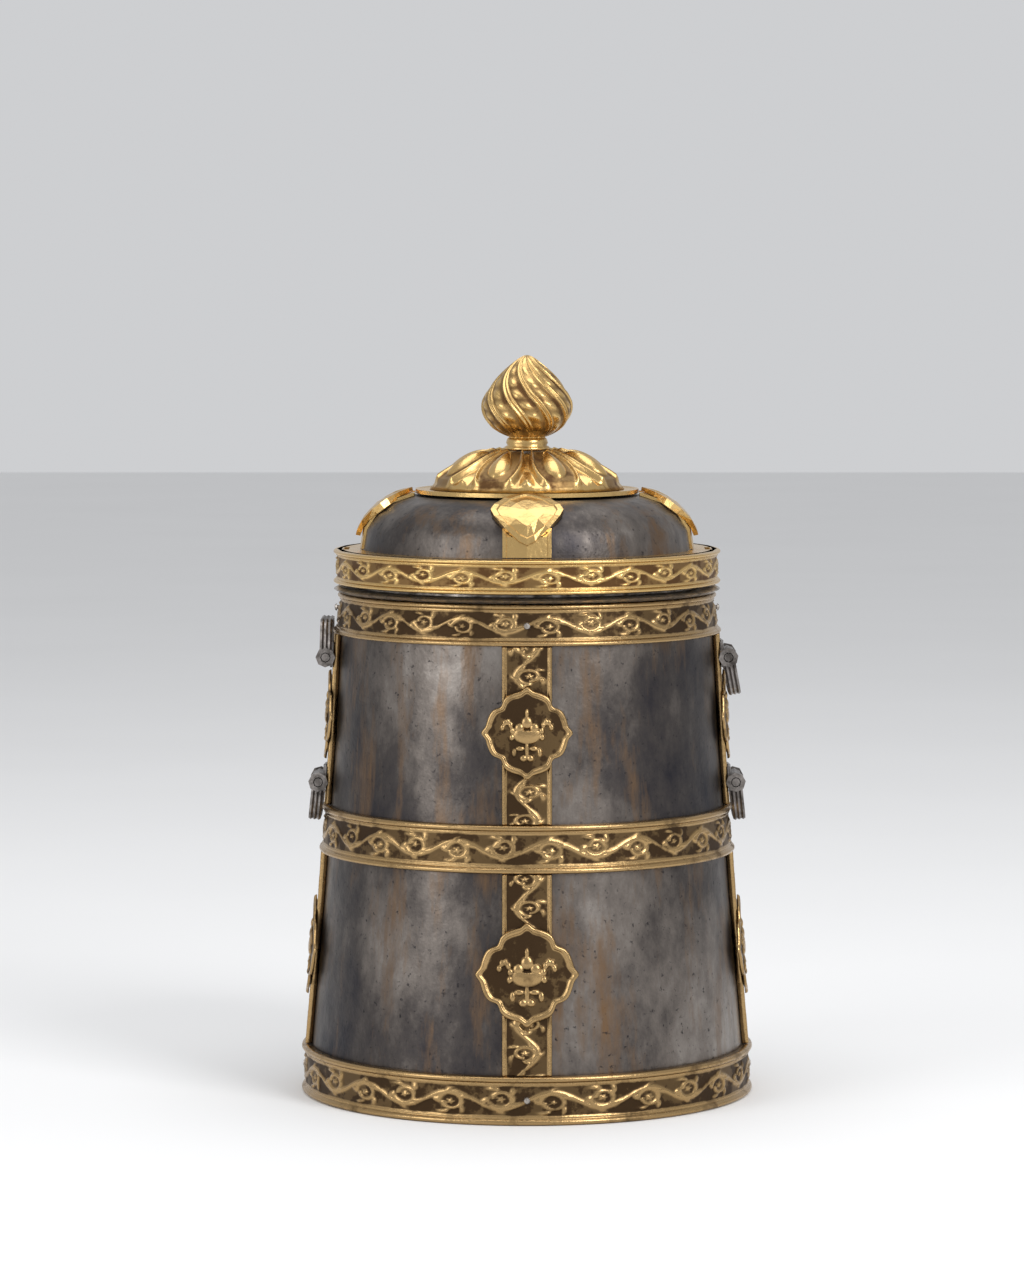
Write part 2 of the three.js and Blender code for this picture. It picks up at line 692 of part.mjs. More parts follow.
function makeBud() {
  const foot = lotusTop() + SEAT;
  const start = foot + BUD_NECK_HEIGHT;
  const ring = (radius, z, flute, turn) =>
    Array.from({ length: BUD_SEGMENTS }, (_, i) => {
      const angle = (2 * Math.PI * i) / BUD_SEGMENTS;
      const furrow = flute * Math.abs(Math.cos((BUD_LEAVES / 2) * (angle + turn))) ** 6;
      const r = radius - furrow;
      return [r * Math.sin(angle), -r * Math.cos(angle), z];
    });
  const neck = [
    ring(BUD_NECK_RADIUS + 0.6, foot, 0, 0),
    ring(BUD_NECK_RADIUS + 0.6, foot + 1.6, 0, 0),
    ring(BUD_NECK_RADIUS - 0.6, foot + 2.4, 0, 0),
    ring(BUD_NECK_RADIUS - 0.2, foot + 3.4, 0, 0),
    ring(BUD_NECK_RADIUS, start, 0, 0),
  ];
  const leaves = [0.08, 0.2, 0.36, 0.52, 0.68, 0.82, 0.94].map((t) =>
    ring(budRadius(t), start + BUD_HEIGHT * t, BUD_FLUTE * Math.sin(Math.PI * t) ** 0.5, BUD_TWIST * t ** 2),
  );
  const body = solidOf(loft([0, 0, foot], [...neck, ...leaves], [0, 0, start + BUD_HEIGHT]));
  const bore = TANG_RADIUS + SEAT;
  const depth = TANG_INTO_BUD + SEAT;
  const drill = new THREE.CylinderGeometry(bore, bore, 2 * depth, SMALL_SEGMENTS).rotateX(QUARTER);
  return geometryOf(body.subtract(solidOf(drill.translate(0, 0, foot))));
}

// Tang, peened over a rove under the dome, that holds finial, lotus and disc to the lid
function roveTop() {
  return domeCrownZ() - DOME_THICKNESS - SEAT;
}

function makeRove() {
  const bore = TANG_RADIUS + SEAT;
  return revolve(
    closed([
      [ROVE_RADIUS, roveTop() - ROVE_THICKNESS],
      [ROVE_RADIUS, roveTop()],
      [bore, roveTop()],
      [bore, roveTop() - ROVE_THICKNESS],
    ]),
    SMALL_SEGMENTS,
  );
}

function makeTang() {
  const headTop = roveTop() - ROVE_THICKNESS - SEAT;
  const top = lotusTop() + SEAT + TANG_INTO_BUD;
  return revolve(
    [
      [0, headTop - TANG_HEAD_HEIGHT],
      [0.7 * TANG_HEAD_RADIUS, headTop - 0.8 * TANG_HEAD_HEIGHT],
      [TANG_HEAD_RADIUS, headTop],
      [TANG_RADIUS, headTop],
      [TANG_RADIUS, top],
      [0, top],
    ],
    SMALL_SEGMENTS,
  );
}

// Lugs. Each is made about its own pin, with the pin along X and the pot behind it, at +Y.
function barrelProfile() {
  const half = BARREL_LENGTH / 2;
  const collar = half - BARREL_COLLAR;
  const groove = BARREL_RADIUS - BARREL_GROOVE;
  const right = [
    [BARREL_RADIUS, half],
    [BARREL_RADIUS, collar],
    [groove, collar - BARREL_GROOVE / 2],
    [BARREL_RADIUS, collar - BARREL_GROOVE],
  ];
  const left = right.map(([r, x]) => [r, -x]);
  return [[0, -half], ...left, ...right.reverse(), [0, half]];
}

function makeBracket(z, strap) {
  const plateSection = [
    [STRAP_WIDTH / 2, STRAP_PROUD + SEAT],
    [STRAP_WIDTH / 2, STRAP_PROUD + SEAT + PLATE_THICKNESS],
    [0, STRAP_PROUD + SEAT + PLATE_THICKNESS],
    [-STRAP_WIDTH / 2, STRAP_PROUD + SEAT + PLATE_THICKNESS],
    [-STRAP_WIDTH / 2, STRAP_PROUD + SEAT],
    [0, STRAP_PROUD + SEAT],
  ];
  const above = Math.min(PLATE_ABOVE, (z > MIDDLE_BAND_Z + MIDDLE_BAND_HEIGHT ? RIM_BAND_Z : Infinity) - SEAT - z);
  const frames = [z - PLATE_BELOW, z, z + above].map((height) => (s, h) => onWall(s, height, h));
  const plate = solidOf(sweep(plateSection, frames));
  const barrel = revolve(barrelProfile(), SMALL_SEGMENTS).rotateY(QUARTER).translate(0, -pivotRadius(z), z);
  const bore = rodAlongX(PIN_RADIUS + SEAT, -BARREL_LENGTH, BARREL_LENGTH).translate(0, -pivotRadius(z), z);
  return geometryOf(plate.add(solidOf(barrel)).subtract(solidOf(bore)).subtract(strap));
}

function pivotRadius(z) {
  return wallRadius(z) + PIVOT_PROUD;
}

function makePin() {
  const end = BARREL_LENGTH / 2 + RUN + BAIL_THICKNESS - PIN_RECESS;
  return rodAlongX(PIN_RADIUS, -end, end);
}

// The bail's strip: flat inside, with reeds along its outside. a runs across the strip, b outwards.
function bailSection() {
  const half = BAIL_WIDTH / 2;
  const pitch = BAIL_WIDTH / BAIL_REEDS;
  const outside = Array.from({ length: BAIL_REEDS }, (_, i) => half - pitch * (i + 0.5)).flatMap((a, i) =>
    i + 1 < BAIL_REEDS
      ? [
          [a, BAIL_THICKNESS],
          [a - pitch / 2, BAIL_THICKNESS - REED_DEPTH],
        ]
      : [[a, BAIL_THICKNESS]],
  );
  return [[half, 0], [half, BAIL_THICKNESS - REED_DEPTH], ...outside, [-half, BAIL_THICKNESS - REED_DEPTH], [-half, 0]];
}

function makeBail() {
  const inner = BARREL_LENGTH / 2 + RUN;
  const radius = BAIL_CORNER - BAIL_THICKNESS;
  const cornerZ = BAIL_THICKNESS + radius - BAIL_LENGTH;
  const path = [[inner, 0, 0]];
  for (const turn of range(0, QUARTER, 2)) {
    path.push([inner - radius + radius * Math.cos(turn), cornerZ - radius * Math.sin(turn), turn]);
  }
  const right = path.map(([x, z, turn]) => (a, b) => [x + b * Math.cos(turn), a, z - b * Math.sin(turn)]);
  const left = path.map(([x, z, turn]) => (a, b) => [-x - b * Math.cos(turn), a, z - b * Math.sin(turn)]).reverse();
  const strip = solidOf(sweep(bailSection(), [...right, ...left]));
  const ears = [-1, 1].map((side) => {
    const ends = [side * inner, side * (inner + BAIL_THICKNESS)].sort((a, b) => a - b);
    return solidOf(rodAlongX(EAR_RADIUS, ends[0], ends[1]));
  });
  const bore = solidOf(rodAlongX(PIN_RADIUS + RUN, -2 * inner, 2 * inner));
  return geometryOf(strip.add(ears[0]).add(ears[1]).subtract(bore));
}

// The lean at which a bail's inner edge meets a stop that stands at a radius, this far along the bail.
function leanOnto(stopRadius, pivot, along) {
  return Math.asin((stopRadius + RUN + BAIL_WIDTH / 2 - pivot) / along);
}

function restLean(z) {
  const barHeight = BAIL_LENGTH - BAIL_THICKNESS;
  if (z === LOWER_LUG_Z) {
    const beadRadius = wallRadius(MIDDLE_BAND_Z + MIDDLE_BAND_HEIGHT) + BAND_PROUD;
    return leanOnto(beadRadius, pivotRadius(z), barHeight);
  }
  const plaqueRadius = wallRadius(z - barHeight) + PLAQUE_RIM + 0.2;
  return leanOnto(plaqueRadius, pivotRadius(z), barHeight);
}

// Rivet: a domed head outside the band and a shank through band and wall. Made about its head's seat, head at -Y.
function makeRivet(depth) {
  return revolve(
    [
      [0, -depth],
      [RIVET_SHANK_RADIUS, -depth],
      [RIVET_SHANK_RADIUS, 0],
      [RIVET_HEAD_RADIUS, 0],
      [0.75 * RIVET_HEAD_RADIUS, 0.75 * RIVET_HEAD_HEIGHT],
      [0, RIVET_HEAD_HEIGHT],
    ],
    8,
  ).rotateX(QUARTER);
}

// Assembly
const pot = new THREE.Group();
const lid = new THREE.Group();

function piece(name, geometry, material, parent) {
  const mesh = new THREE.Mesh(geometry, material);
  mesh.name = name;
  parent.add(mesh);
  return mesh;
}

piece("silver_wall", makeWall(), silver, pot);
piece("base_plate", makeBasePlate(), silver, pot);
piece("base_band", makeBaseBand(), gilt, pot);
const middleHigh = MIDDLE_BAND_Z + MIDDLE_BAND_HEIGHT;
const rimHigh = RIM_BAND_Z + RIM_BAND_HEIGHT;
piece("middle_band", geometryOf(makeWallBand(MIDDLE_BAND_Z, middleHigh, BEAD_HEIGHT)), gilt, pot);
piece("rim_band", geometryOf(drillRim(makeWallBand(RIM_BAND_Z, rimHigh, 0))), gilt, pot);
piece("mouth_ring", makeMouth(), brightSilver, pot);

const upperSpan = [middleHigh + SEAT, RIM_BAND_Z - SEAT];
const lowerSpan = [BASE_BAND_HEIGHT + SEAT, MIDDLE_BAND_Z - SEAT];
const upperStrap = wallStrap(...upperSpan);
const lowerStrap = wallStrap(...lowerSpan);
const upperStrapRoom = solidOf(wallStrap(...upperSpan, SEAT));
const lowerStrapRoom = solidOf(wallStrap(...lowerSpan, SEAT));
const upperPlaque = makeWallPlaque(UPPER_PLAQUE, upperStrapRoom);
const lowerPlaque = makeWallPlaque(LOWER_PLAQUE, lowerStrapRoom);
const domeStrap = makeDomeStrap();
const domePlaque = makeDomePlaque();
for (const side of SIDES) {
  piece(`${side.name}_strap_upper`, upperStrap, gilt, pot).rotation.z = side.angle;
  piece(`${side.name}_strap_lower`, lowerStrap, gilt, pot).rotation.z = side.angle;
  piece(`${side.name}_plaque_upper`, upperPlaque, gilt, pot).rotation.z = side.angle;
  piece(`${side.name}_plaque_lower`, lowerPlaque, gilt, pot).rotation.z = side.angle;
  piece(`${side.name}_lid_strap`, domeStrap, gilt, lid).rotation.z = side.angle;
  piece(`${side.name}_lid_plaque`, domePlaque, gilt, lid).rotation.z = side.angle;
}

function placeRivet(name, z, side, seatRadius) {
  const holder = new THREE.Group();
  holder.rotation.z = side.angle;
  const rivet = piece(name, makeRivet(seatRadius - wallRadius(z) + WALL_THICKNESS), brightSilver, holder);
  rivet.position.set(0, -seatRadius, z);
  pot.add(holder);
}

for (const side of SIDES) {
  const z = rimRivetZ(side);
  placeRivet(`rim_rivet_${side.name}`, z, side, wallRadius(z) + BAND_GROUND + SEAT);
  const baseGround = BASE_BAND_RADIUS - (BAND_PROUD - BAND_GROUND);
  placeRivet(`base_rivet_${side.name}`, BASE_RIVET_Z, side, baseGround + SEAT);
}

// One lug on each side at each height. The left upper bail stands up against the rim band; the others hang.
const bail = makeBail();
const upperBracket = makeBracket(UPPER_LUG_Z, upperStrapRoom);
const lowerBracket = makeBracket(LOWER_LUG_Z, upperStrapRoom);
const LUGS = [
  { name: "right_upper", z: UPPER_LUG_Z, angle: QUARTER, raised: false, bracket: upperBracket },
  { name: "right_lower", z: LOWER_LUG_Z, angle: QUARTER, raised: false, bracket: lowerBracket },
  { name: "left_upper", z: UPPER_LUG_Z, angle: 3 * QUARTER, raised: true, bracket: upperBracket },
  { name: "left_lower", z: LOWER_LUG_Z, angle: 3 * QUARTER, raised: false, bracket: lowerBracket },
];
for (const lug of LUGS) {
  piece(`${lug.name}_bracket`, lug.bracket, darkSteel, pot).rotation.z = lug.angle;
  const holder = new THREE.Group();
  holder.rotation.z = lug.angle;
  pot.add(holder);
  const pin = piece(`${lug.name}_pin`, makePin(), darkSteel, holder);
  pin.position.set(0, -pivotRadius(lug.z), lug.z);
  const swing = piece(`${lug.name}_bail`, bail, darkSteel, holder);
  swing.position.copy(pin.position);
  swing.rotation.x = lug.raised ? Math.PI - UP_LEAN : -restLean(lug.z);
}

piece("lid_band", makeLidBand(), brightGilt, lid);
piece("lid_liner", makeLidLiner(), brightSilver, lid);
piece("lid_ledge_plate", makeLedgePlate(), brightGilt, lid);
piece("lid_dome", makeDome(), silver, lid);
piece("lotus_disc", makeLotusDisc(), brightGilt, lid);
piece("lotus_mount", makeLotus(), brightGilt, lid);
piece("finial_bud", makeBud(), brightGilt, lid);
piece("finial_tang", makeTang(), brightSilver, lid);
piece("finial_rove", makeRove(), brightSilver, lid);

const liddedPot = new THREE.Group();
liddedPot.add(pot, lid);
export default liddedPot;
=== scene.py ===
# A lidded pot of tarnished silver with gilt chased bands, a lotus mount and a bud finial.
# Metres, +Z up, front at -Y.
import json
import math

import bmesh
import bpy
import numpy as np
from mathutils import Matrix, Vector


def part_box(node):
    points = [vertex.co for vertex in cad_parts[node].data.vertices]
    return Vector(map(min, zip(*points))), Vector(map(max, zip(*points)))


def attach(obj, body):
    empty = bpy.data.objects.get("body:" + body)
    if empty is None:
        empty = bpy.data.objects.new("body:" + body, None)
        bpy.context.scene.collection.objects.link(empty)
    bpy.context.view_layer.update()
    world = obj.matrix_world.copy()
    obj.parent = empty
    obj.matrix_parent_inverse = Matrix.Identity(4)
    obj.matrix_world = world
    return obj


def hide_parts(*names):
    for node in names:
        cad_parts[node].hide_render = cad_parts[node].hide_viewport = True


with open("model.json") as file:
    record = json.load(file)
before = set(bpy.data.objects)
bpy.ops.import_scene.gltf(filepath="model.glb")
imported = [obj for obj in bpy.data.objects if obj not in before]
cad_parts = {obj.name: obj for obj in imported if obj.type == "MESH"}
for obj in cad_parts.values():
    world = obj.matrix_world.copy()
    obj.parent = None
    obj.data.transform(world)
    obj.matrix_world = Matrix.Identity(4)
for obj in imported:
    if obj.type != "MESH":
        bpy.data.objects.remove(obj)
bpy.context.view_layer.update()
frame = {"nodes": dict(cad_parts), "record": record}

scene = bpy.context.scene
scene.view_settings.view_transform = "Standard"

# Camera, fitted to the ellipses of the rings in the photograph
CAMERA_DISTANCE = 2.238
CAMERA_HEIGHT = 0.3817
CAMERA_PITCH = 0.0798
LENS_MM = 140.6
SENSOR_MM = 36
AXIS_OFFSET_PIXELS = 15  # the pot's axis stands this far right of the picture's middle
IMAGE_LONG_SIDE = 1280

# Floor, lamps and world. A lamp is its place, its two sides and its power in watts.
FLOOR_HALF_SIDE = 6
LAMPS = {
    "key": ((1.1, -1.3, 1.3), (0.7, 1.3), 22),
    "fill": ((-1.4, -1.1, 0.8), (0.9, 1.3), 10),
    "top": ((0, 0.1, 1.8), (1.2, 1.2), 10),
}
LAMP_AIM = (0, 0, 0.17)
WORLD_COLOUR = (0.82, 0.83, 0.85)
WORLD_STRENGTH = 0.75

# Sockets that are reached by their place in the node
OBJECT_COORDINATES = 3
ATTRIBUTE_FACTOR = 2
MIX_FACTOR = 0
MIX_FIRST = 6
MIX_SECOND = 7
MIX_RESULT = 2

# Turned pieces
MERGE_DISTANCE = 1e-6
TURNED_MERGE_DISTANCE = 1e-5
TURNED_COLUMNS = 192
TURNED_CREASE_DEGREES = 35
WALL_READ_DEGREES = 45
TANG_HOLE_RADIUS = 0.0033

# Scrolling vine. Lengths are in half scrolls.
STEM_SWING = 0.55
STEM_WIDTH = 0.13
STEM_RISE = 0.8
CURL_OFFSET = 0.12
CURL_SQUASH = 0.85
COIL_RADIUS = 0.42
COIL_GROWTH = 0.10
COIL_WIDTH = 0.085
COIL_REACH = 0.75
COIL_RISE = 0.9
LEAF_COUNT = 5
LEAF_SLANT = 6
LEAF_SHARPNESS = 1.5
LEAF_RADIUS = 0.62
LEAF_WIDTH = 0.16
LEAF_DEPTH = 0.0009  # full height of the vine, in metres
BLOSSOM_CROWN = 1.1
BLOSSOM_RADIUS = 0.17
BLOSSOM_LOBE = 0.06

# Bands. Places across a band are shares of its height.
BAND_ROWS = 56
BAND_COLUMNS = 640
BAND_END_STRIP = 0.004  # the solid's radii are read this near to its ends
SCROLLS_PER_BAND = 28  # even, because they lie up and down in turn
BEAD_HEIGHT = 0.13
BEAD_RISE = 0.0017
REED_AT = 0.165
REED_WIDTH = 0.018
REED_RISE = 0.0006
BAND_FIELD_AT = 0.19
BAND_FIELD_EDGE = 0.02
BAND_VINE_REACH = 0.31
BAND_WEAR = 1.6  # how far up its relief a band is rubbed clean

# Straps. Heights are above the silver wall, places across are shares of the half width.
STRAP_ROWS = 240
STRAP_COLUMNS = 60
STRAP_HALF_WIDTH = 0.01065
STRAP_BACK = 0.0003
STRAP_GROUND = 0.0022
STRAP_RIB_AT = 0.925
STRAP_RIB_HALF_WIDTH = 0.075
STRAP_RIB_RISE = 0.001
STRAP_FIELD_AT = 0.83
STRAP_FIELD_EDGE = 0.04
STRAP_SCROLL = 0.0125
STRAP_VINE_REACH = 0.8
STRAP_WEAR = 1.5

# Plaques. Heights are above the silver wall, places are shares of the way from middle to outline.
PLAQUE_ROWS = 60
PLAQUE_COLUMNS = 240
PLAQUE_HEART = 0.01
PLAQUE_EDGE = 0.0034
PLAQUE_GROUND = 0.0038
PLAQUE_RIM_AT = 0.94
PLAQUE_RIM_HALF_WIDTH = 0.06
PLAQUE_RIM_RISE = 0.0009
PLAQUE_FIELD_AT = 0.87
PLAQUE_FIELD_EDGE = 0.03
PLAQUE_RELIEF = 0.0016
PLAQUE_WEAR = 1.5
# Painted shade: a fixed darkness on the plaque's edge and back, so that its rim darkens towards the wall
# beneath it.
PLAQUE_EDGE_SHADE = 0.6
OUTLINE_LOBE = 0.90
OUTLINE_POINT = 0.09
OUTLINE_NOTCH = 0.10
POINT_DEGREES = 6
NOTCH_DEGREES = 9
NOTCH_AT_DEGREES = 45

# The offering on a plaque, in shares of its half size. A boss is its place across and up, its half width
# and half height, and its rise. All are mirrored from right to left.
OFFERING_SIZE = 0.85
BOWL = (0, -0.02, 0.36, 0.26)
BOWL_LIP = 0.06
BOSSES = {
    "side jewel": (0.19, 0.13, 0.13, 0.13, 0.9),
    "top jewel": (0, 0.27, 0.15, 0.16, 1),
    "flame": (0, 0.50, 0.06, 0.13, 0.8),
    "stem": (0, -0.42, 0.06, 0.22, 0.7),
    "leaf": (0.17, -0.38, 0.13, 0.07, 0.8),
    "foot": (0.09, -0.62, 0.10, 0.09, 0.8),
    "leaf tip": (0.32, -0.48, 0.07, 0.12, 0.7),
}
SPRAY_LEAVES = 6
SPRAY_START = 0.5
SPRAY_STEP = 0.62
SPRAY_MIDDLE = (0.50, 0.02)
SPRAY_REACH = (0.13, 0.27)
SPRAY_LEAF = (0.07, 0.09)
SPRAY_RISE = 0.75

# Lotus mount. A petal runs from 0 at the neck to 1 at the foot, and from -1 to 1 across.
LOTUS_ROWS = 90
LOTUS_COLUMNS = 720
LOTUS_PETALS = 8
LOTUS_NECK_RADIUS = 0.0115
LOTUS_EDGE_ROOM = 0.002
LOTUS_FOOT_RISE = 0.0024
LOTUS_HEADROOM = 0.0062
LOTUS_FALL = 1.5
LOTUS_LEAN = 0.45  # share of the swell that also goes outwards
LOTUS_BASE_DIRT = 0.5
PETAL_WIDTH = 0.92
PETAL_ROOT = 0.2
PETAL_SPREAD = 0.66
PETAL_EDGE = 0.10
PETAL_RISE = 0.0014
LIP_INSET = 0.15
LIP_WIDTH = 0.075
LIP_RISE = 0.0013
BOSS_AT = 0.55
BOSS_HALF_LENGTH = 0.33
BOSS_NARROW = 0.15
BOSS_SPREAD = 0.42
BOSS_KEEL = 1.6
BOSS_ROUNDNESS = 0.6
BOSS_RISE = 0.0032
SEPAL_AT = 0.66
SEPAL_LENGTH = 0.25
SEPAL_HALF_WIDTH = 0.22
SEPAL_RISE = 0.0018
NECK_FADE = 0.12
FOOT_FADE = 0.05

# Bud. Its height runs from 0 above the collar to 1 at the tip, and a leaf from 0 to 1 across.
BUD_ROWS = 150
BUD_COLUMNS = 480
BUD_LEAVES = 10
BUD_TURN = 2.4  # turn from foot to tip, in leaves
BUD_TURN_POWER = 1.3
BUD_COLLAR_HEIGHT = 0.005
BUD_SHOULDER = 0.72
BUD_FULLNESS = 0.62
BUD_SLIM = 0.55
BUD_SLIM_FROM = 0.45
BUD_SLIM_POWER = 1.3
BUD_STALK = 0.46
BUD_STALK_POWER = 6
BUD_RELIEF_ROOM = 0.0012
BUD_SIZE = 0.985
BUD_RELIEF = 0.0011
BUD_WEAR = 1.5
RIDGE_AT = 0.2
RIDGE_WIDTH = 0.07
SECOND_RIDGE_AT = 0.38
SECOND_RIDGE_WIDTH = 0.06
SECOND_RIDGE_RISE = 0.8
LOBES_AT = 0.45
LOBES_WIDTH = 0.5
LOBES_RISE = 0.75
LOBES_LEVEL = 0.6
LOBES_WAVE = 0.4
LOBES_PITCH = 46
COLLAR_DIRT = 0.2
COLLAR = (  # radius, height above the bud's foot
    (TANG_HOLE_RADIUS, 0),
    (0.0100, 0),
    (0.0102, 0.0008),
    (0.0100, 0.0016),
    (0.0088, 0.0022),
    (0.0094, 0.0034),
)


class Value:
    """Wraps a node socket, so that an expression adds its Math nodes."""

    def __init__(self, tree, socket):
        self.tree = tree
        self.socket = socket

    def _math(self, operation, *values):
        return self.tree.add("ShaderNodeMath", {"operation": operation}, *values)

    def __add__(self, other):
        return self._math("ADD", self, other)

    def __sub__(self, other):
        return self._math("SUBTRACT", self, other)

    def __rsub__(self, other):
        return self._math("SUBTRACT", other, self)

    def __mul__(self, other):
        return self._math("MULTIPLY", self, other)

    __radd__ = __add__
    __rmul__ = __mul__


class Tree:
    """A material's node tree. add makes any node, settings first, then its inputs by place or by name."""

    def __init__(self, name):
        self.material = bpy.data.materials.new(name)
        self.material.use_nodes = True
        self.nodes = self.material.node_tree.nodes
        self.links = self.material.node_tree.links
        self.nodes.clear()

    def add(self, kind, settings=None, *values, out=0, **named):
        node = self.nodes.new(kind)
        for key, value in (settings or {}).items():
            if key == "stops":
                self._stops(node.color_ramp, value)
            else:
                setattr(node, key, value)
        by_name = ((key.replace("_", " "), value) for key, value in named.items())
        for key, value in [*enumerate(values), *by_name]:
            if isinstance(value, Value):
                self.links.new(value.socket, node.inputs[key])
            else:
                node.inputs[key].default_value = value
        return Value(self, node.outputs[out])

    @staticmethod
    def _stops(ramp, stops):
        while len(ramp.elements) < len(stops):
            ramp.elements.new(0.5)
        for element, (place, colour) in zip(ramp.elements, stops):
            element.position = place
            element.color = (*colour, 1)

    def noise(self, scale, detail=5, roughness=0.6, stretch=(1, 1, 1)):
        place = self.add("ShaderNodeTexCoord", out=OBJECT_COORDINATES)
        place = self.add("ShaderNodeMapping", Vector=place, Scale=stretch)
        return self.add("ShaderNodeTexNoise", Vector=place, Scale=scale, Detail=detail, Roughness=roughness)

    def ramp(self, value, *stops):
        return self.add("ShaderNodeValToRGB", {"stops": stops}, value)

    def mask(self, value, low, high):
        return self.add("ShaderNodeMapRange", {"clamp": True}, value, low, high)

    def mix(self, factor, first, second):
        node = self.nodes.new("ShaderNodeMix")
        node.data_type = "RGBA"
        for index, value in ((MIX_FACTOR, factor), (MIX_FIRST, first), (MIX_SECOND, second)):
            if isinstance(value, Value):
                self.links.new(value.socket, node.inputs[index])
            else:
                node.inputs[index].default_value = (*value, 1)
        return Value(self, node.outputs[MIX_RESULT])

    def finish(self, colour, roughness, height, bump_distance, metallic=1.0):
        bump = self.add("ShaderNodeBump", Strength=0.6, Distance=bump_distance, Height=height)
        shader = self.add(
            "ShaderNodeBsdfPrincipled", Base_Color=colour, Roughness=roughness, Metallic=metallic, Normal=bump
        )
        output = self.nodes.new("ShaderNodeOutputMaterial")
        self.links.new(shader.socket, output.inputs[0])
        return self.material


def tarnished_silver():
    """Silver gone dark in clouds, with brown streaks down the wall and black specks."""
    tree = Tree("tarnished silver")
    cloud = tree.noise(scale=16, detail=8, roughness=0.68, stretch=(1, 1, 0.6))
    toned = tree.ramp(
        cloud,
        (0.32, (0.022, 0.022, 0.030)),
        (0.47, (0.075, 0.066, 0.062)),
        (0.58, (0.17, 0.148, 0.132)),
        (0.76, (0.36, 0.33, 0.30)),
    )
    streaks = tree.noise(scale=60, detail=5, roughness=0.7, stretch=(1, 1, 0.18))
    streaks = tree.mask(streaks, low=0.52, high=0.72)
    brown = tree.mix(streaks, toned, (0.17, 0.105, 0.06))
    specks = tree.mask(tree.noise(scale=420, detail=3), low=0.62, high=0.74)
    colour = tree.mix(specks, brown, (0.03, 0.028, 0.03))
    roughness = 0.27 + 0.28 * (1 - cloud) + 0.12 * specks
    dents = tree.noise(scale=85, detail=3, roughness=0.5)
    grain = tree.noise(scale=700, detail=2, roughness=0.5)
    return tree.finish(colour, roughness, dents + 0.2 * grain, bump_distance=0.0007)


def gilding(name, gold, brown, amount):
    """Gold worn bright on what stands up, brown where the cavity attribute says that dirt has stayed, and
    brown as painted shade on the plaques' edges and backs.
    """
    tree = Tree(name)
    cavity = tree.add("ShaderNodeAttribute", {"attribute_name": "cavity"}, out=ATTRIBUTE_FACTOR)
    patches = tree.mask(tree.noise(scale=70, detail=6, roughness=0.65), low=0.46, high=0.70)
    # This mask holds the real dirt and also the painted shade on the plaques' edges and backs.
    dirt = tree.mask(cavity + amount * patches, low=0.35, high=1.15)
    warm = tree.mix(tree.noise(scale=30, detail=4), gold, tuple(0.72 * c for c in gold))
    colour = tree.mix(dirt, warm, brown)
    roughness = 0.24 + 0.30 * dirt + 0.08 * patches
    return tree.finish(colour, roughness, tree.noise(scale=520, detail=4), bump_distance=0.00025)


def worn_silver(name, light, dark):
    """Silver rubbed light in patches and dark between them."""
    tree = Tree(name)
    wear = tree.mask(tree.noise(scale=160, detail=6, roughness=0.65), low=0.36, high=0.64)
    colour = tree.mix(wear, dark, light)
    roughness = 0.28 + 0.25 * (1 - wear)
    return tree.finish(colour, roughness, tree.noise(scale=600, detail=4), bump_distance=0.0003)


FINISHES = {
    "tarnished_silver": tarnished_silver(),
    "plain_silver": worn_silver("plain silver", (0.52, 0.48, 0.44), (0.16, 0.14, 0.12)),
    "lug_silver": worn_silver("lug silver", (0.34, 0.31, 0.29), (0.07, 0.062, 0.056)),
    "band_gilding": gilding("band gilding", (0.47, 0.31, 0.14), (0.055, 0.033, 0.017), 0.95),
    "bright_gilding": gilding("bright gilding", (0.72, 0.48, 0.19), (0.12, 0.062, 0.026), 0.6),
}
SLOT_OF = {row["node"]: row["material_slot"] for row in frame["record"]["subparts"]}
BODY_OF = {node: body for body, nodes in frame["record"]["behaviour"]["bodies"].items() for node in nodes}


def make_piece(name, vertices, faces, node, cavity):
    """A plain mesh piece that stands for a node: its cavity attribute drives the dirt in the gilding, and the
    painted shade on the plaques' edges and backs.
    """
    mesh = bpy.data.meshes.new(name)
    mesh.from_pydata([tuple(v) for v in vertices], [], faces)
    mesh.attributes.new("cavity", "FLOAT", "POINT").data.foreach_set("value", cavity)
    shape = bmesh.new()
    shape.from_mesh(mesh)
    bmesh.ops.remove_doubles(shape, verts=shape.verts, dist=MERGE_DISTANCE)
    bmesh.ops.recalc_face_normals(shape, faces=shape.faces)
    shape.to_mesh(mesh)
    shape.free()
    mesh.shade_smooth()
    piece = bpy.data.objects.new(name, mesh)
    scene.collection.objects.link(piece)
    mesh.materials.append(FINISHES[SLOT_OF[node]])
    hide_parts(node)
    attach(piece, BODY_OF[node])
    return piece


def grid_faces(rows, columns):
    """Quads of a grid of rows that each close round on themselves."""
    return [
        (
            row * columns + column,
            row * columns + (column + 1) % columns,
            (row + 1) * columns + (column + 1) % columns,
            (row + 1) * columns + column,
        )
        for row in range(rows - 1)
        for column in range(columns)
    ]


def tube_faces(rows, columns):
    """The same grid with its last row joined to its first, which closes a ring."""
    last = (rows - 1) * columns
    closing = [(last + c, last + (c + 1) % columns, (c + 1) % columns, c) for c in range(columns)]
    return grid_faces(rows, columns) + closing


def end_face(row, columns):
    """One face across a whole row of the grid."""
    return tuple(range(row * columns, (row + 1) * columns))


def polar_grid(rows, columns, start=0):
    """Shares from start to 1 down the rows, and angles right round along the columns."""
    shares = np.linspace(start, 1, rows)
    angles = np.linspace(0, 2 * np.pi, columns, endpoint=False)
    return np.meshgrid(shares, angles, indexing="ij")


def around_axis(radius, angle, z):
    """A point at an angle from the front."""
    return (radius * math.sin(angle), -radius * math.cos(angle), z)


def grid_around_axis(radius, angle, z):
    x = radius * np.sin(angle)
    y = -radius * np.cos(angle)
    return list(zip(x.ravel(), y.ravel(), z.ravel()))


